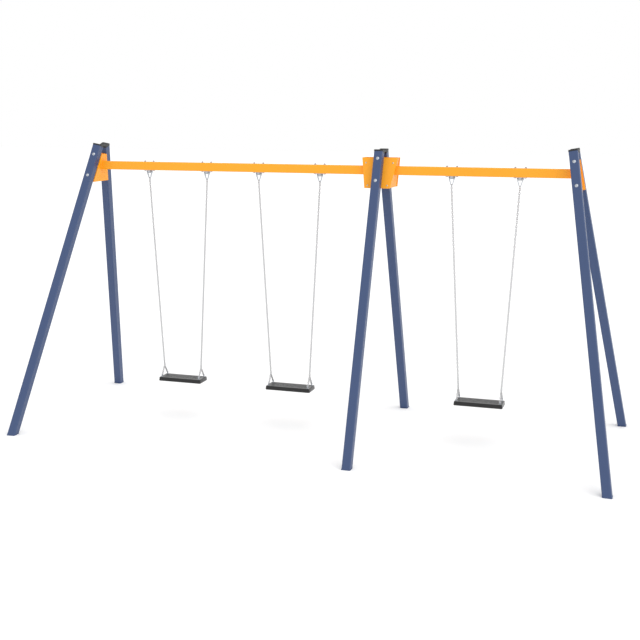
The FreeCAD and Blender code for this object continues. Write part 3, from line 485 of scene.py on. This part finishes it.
def powder_coat(name, colour, gloss):
    """Powder coat on steel: slow drift in its colour, fine orange peel and a soft satin gloss."""
    made = Nodes(name)
    made.fixed(specular_ior_level=COAT_SPECULAR)
    drift = made.mottle(1.3, 4)
    speckle = made.spread(made.noise(420, 2), 0.35, 0.65, 0.0, 1.0)
    base = made.mixed(drift, scaled(colour, 0.93), scaled(colour, 1.05))
    base = made.mixed(speckle, base, scaled(colour, 0.97))
    made.join(base, made.shader, "Base Color")
    made.join(made.mottle(26, 4, gloss - 0.05, gloss + 0.07), made.shader, "Roughness")
    peel = made.bump(made.noise(330, 2), 0.22, 0.35 * MM)
    made.join(made.bump(made.noise(1500, 1), 0.10, 0.1 * MM, peel), made.shader, "Normal")
    return made.material


def galvanised(name, dark, light, cell_scale, rough):
    """Hot-dip zinc: crystal cells of slightly different grey and gloss, with a dull bloom over them."""
    made = Nodes(name)
    made.fixed(metallic=0.9)
    cells = made.cells(cell_scale)
    bloom = made.spread(made.noise(60, 5), 0.35, 0.7, 0.0, 1.0)
    grey = made.mixed(cells, dark, light)
    made.join(made.mixed(bloom, grey, scaled(light, 0.93)), made.shader, "Base Color")
    made.join(made.spread(cells, 0.0, 1.0, rough - 0.07, rough + 0.09), made.shader, "Roughness")
    made.join(made.bump(made.noise(700, 3), 0.25, 0.15 * MM), made.shader, "Normal")
    return made.material


RUBBER_SHEEN = 0.42


def rubber(name):
    """Moulded black rubber: faint mottling, pale dust in the pores and a fine pebbled grain."""
    made = Nodes(name)
    made.fixed(sheen_weight=RUBBER_SHEEN, sheen_roughness=0.35)
    mottle = made.mottle(14, 5)
    base = made.mixed(mottle, (0.001, 0.001, 0.0012), (0.004, 0.004, 0.0044))
    dust = made.spread(made.noise(900, 2), 0.62, 0.8, 0.0, 0.3)
    made.join(made.mixed(dust, base, (0.025, 0.025, 0.025)), made.shader, "Base Color")
    made.join(made.mottle(45, 4, 0.26, 0.38), made.shader, "Roughness")
    grain = made.bump(made.cells(1100), 0.06, 0.10 * MM)
    made.join(made.bump(made.noise(2300, 2), 0.08, 0.08 * MM, grain), made.shader, "Normal")
    return made.material


def plastic(name):
    """Black moulded plastic with a fine spark-eroded texture."""
    made = Nodes(name)
    mottle = made.mottle(30, 4)
    made.join(made.mixed(mottle, (0.006, 0.0065, 0.006), (0.014, 0.015, 0.014)), made.shader, "Base Color")
    made.join(made.mottle(80, 3, 0.34, 0.48), made.shader, "Roughness")
    made.join(made.bump(made.noise(1300, 2), 0.35, 0.12 * MM), made.shader, "Normal")
    return made.material


def bronze(name):
    """Sintered bronze: porous, dull and slightly uneven."""
    made = Nodes(name)
    made.fixed(metallic=1.0)
    pores = made.spread(made.noise(1800, 3), 0.4, 0.62, 0.0, 1.0)
    made.join(made.mixed(pores, (0.30, 0.19, 0.08), (0.60, 0.41, 0.19)), made.shader, "Base Color")
    made.join(made.mottle(500, 2, 0.35, 0.55), made.shader, "Roughness")
    made.join(made.bump(pores, 0.2, 0.1 * MM), made.shader, "Normal")
    return made.material


def mill_aluminium(name):
    """Rolled aluminium with lines along its length."""
    made = Nodes(name)
    made.fixed(metallic=1.0)
    stretch = made.add("ShaderNodeMapping", scale=(20, 900, 900))
    made.join(made.place, stretch, "Vector")
    lines = made.add("ShaderNodeTexNoise", scale=1.0, detail=3.0)
    made.join(stretch.outputs["Vector"], lines, "Vector")
    rolled = made.spread(lines.outputs["Fac"], *NOISE_SPAN, 0.0, 1.0)
    made.join(made.mixed(rolled, (0.60, 0.61, 0.62), (0.78, 0.78, 0.79)), made.shader, "Base Color")
    made.join(made.spread(rolled, 0.0, 1.0, 0.28, 0.42), made.shader, "Roughness")
    return made.material


def floor_paint(name):
    """A plain pale floor with barely visible unevenness."""
    made = Nodes(name)
    drift = made.mottle(0.6, 3)
    made.join(made.mixed(drift, (0.95, 0.95, 0.95), (0.96, 0.96, 0.96)), made.shader, "Base Color")
    made.fixed(roughness=0.9, specular_ior_level=0.0)
    return made.material


BLUE = (0.042, 0.072, 0.166)
ORANGE = (0.95, 0.372, 0.010)


def slot_materials():
    """One material for each of the record's slots."""
    return {
        "blue_powder_coat": powder_coat("blue_powder_coat_paint", BLUE, 0.40),
        "orange_powder_coat": powder_coat("orange_powder_coat_paint", ORANGE, 0.42),
        "black_plastic": plastic("black_cap_plastic"),
        "galvanised_steel": galvanised("zinc_fittings", (0.37, 0.39, 0.42), (0.52, 0.55, 0.59), 260, 0.36),
        "galvanised_chain": galvanised("zinc_chain", (0.44, 0.44, 0.45), (0.60, 0.60, 0.61), 420, 0.38),
        "bronze_bush": bronze("sintered_bronze"),
        "insert_aluminium": mill_aluminium("rolled_aluminium"),
        "black_rubber": rubber("moulded_rubber"),
    }


# Nodes whose zinc is painted lighter and warm: a painted reflection of the orange-painted beam they bolt
# through.
ORANGE_LIT_ZINC_NODES = ("plate_bolts", "plate_bolt_nuts")


def paint_nodes(materials):
    """Gives every CAD node the material of its slot. The plate bolts get a lighter zinc tinted warm, a
    painted reflection of the orange beam they bolt through.
    """
    # Painted reflection: a lighter, warm-tinted zinc stands for the orange beam's light on the plate bolts
    # and nuts.
    orange_lit_zinc = galvanised("plate_bolt_zinc_painted_orange_reflection", (0.50, 0.46, 0.38), (0.62, 0.58, 0.49), 260, 0.36)
    for row in frame["record"]["subparts"]:
        mesh = frame["nodes"][row["node"]].data
        mesh.materials.clear()
        takes_painted_reflection = row["node"] in ORANGE_LIT_ZINC_NODES
        mesh.materials.append(orange_lit_zinc if takes_painted_reflection else materials[row["material_slot"]])


# Stage ----------------------------------------------------------------------------------------------

FLOOR_HALF = 60.0
SKY_STRENGTH = 1.0
KEY_STRENGTH = 1.0
KEY_SOFTNESS = 70.0
KEY_TOWARDS = (-0.75, 0.45, -0.9)


def floor():
    """A wide plane at ground level."""
    half = FLOOR_HALF
    corners = [(-half, -half, 0), (half, -half, 0), (half, half, 0), (-half, half, 0)]
    mesh = bpy.data.meshes.new("studio_floor")
    mesh.from_pydata(corners, [], [(0, 1, 2, 3)])
    mesh.materials.append(floor_paint("pale_floor"))
    plane = bpy.data.objects.new("studio_floor", mesh)
    bpy.context.scene.collection.objects.link(plane)


def lights():
    """An even white sky and one broad soft key from above and to the right of the front."""
    world = bpy.data.worlds.new("studio_sky")
    world.use_nodes = True
    sky = world.node_tree.nodes["Background"]
    sky.inputs["Color"].default_value = (1.0, 1.0, 1.0, 1.0)
    sky.inputs["Strength"].default_value = SKY_STRENGTH
    bpy.context.scene.world = world
    key = bpy.data.lights.new("soft_key", "SUN")
    key.energy = KEY_STRENGTH
    key.angle = math.radians(KEY_SOFTNESS)
    lamp = bpy.data.objects.new("soft_key", key)
    lamp.rotation_mode = "QUATERNION"
    lamp.rotation_quaternion = Vector(KEY_TOWARDS).to_track_quat("-Z", "Y")
    bpy.context.scene.collection.objects.link(lamp)


# The camera's place in metres, lens and sensor in millimetres, and its tilt down and turn in degrees.
CAMERA_PLACE = (3.2311, -9.9507, 3.1445)
CAMERA_LENS = 62.18
CAMERA_SENSOR = 36.0
CAMERA_TILT = 11.054
CAMERA_TURN = 18.074
CAMERA_REACH = 200.0


def camera():
    """A camera in front and to the right of the set, a little above beam height."""
    lens = bpy.data.cameras.new("studio_camera")
    lens.sensor_width = CAMERA_SENSOR
    lens.lens = CAMERA_LENS
    lens.clip_end = CAMERA_REACH
    view = bpy.data.objects.new("studio_camera", lens)
    view.location = CAMERA_PLACE
    view.rotation_euler = (math.radians(90 - CAMERA_TILT), 0.0, math.radians(CAMERA_TURN))
    bpy.context.scene.collection.objects.link(view)
    bpy.context.scene.camera = view


materials = slot_materials()
paint_nodes(materials)
for swing in SWINGS:
    main_chain(swing, "left", -1, materials["galvanised_chain"])
    main_chain(swing, "right", 1, materials["galvanised_chain"])
    seat_chains(swing, materials["galvanised_chain"])
    seat(swing, materials["black_rubber"])
weld_beads(materials["orange_powder_coat"])
floor()
lights()
camera()
bpy.context.scene.view_settings.view_transform = "Standard"
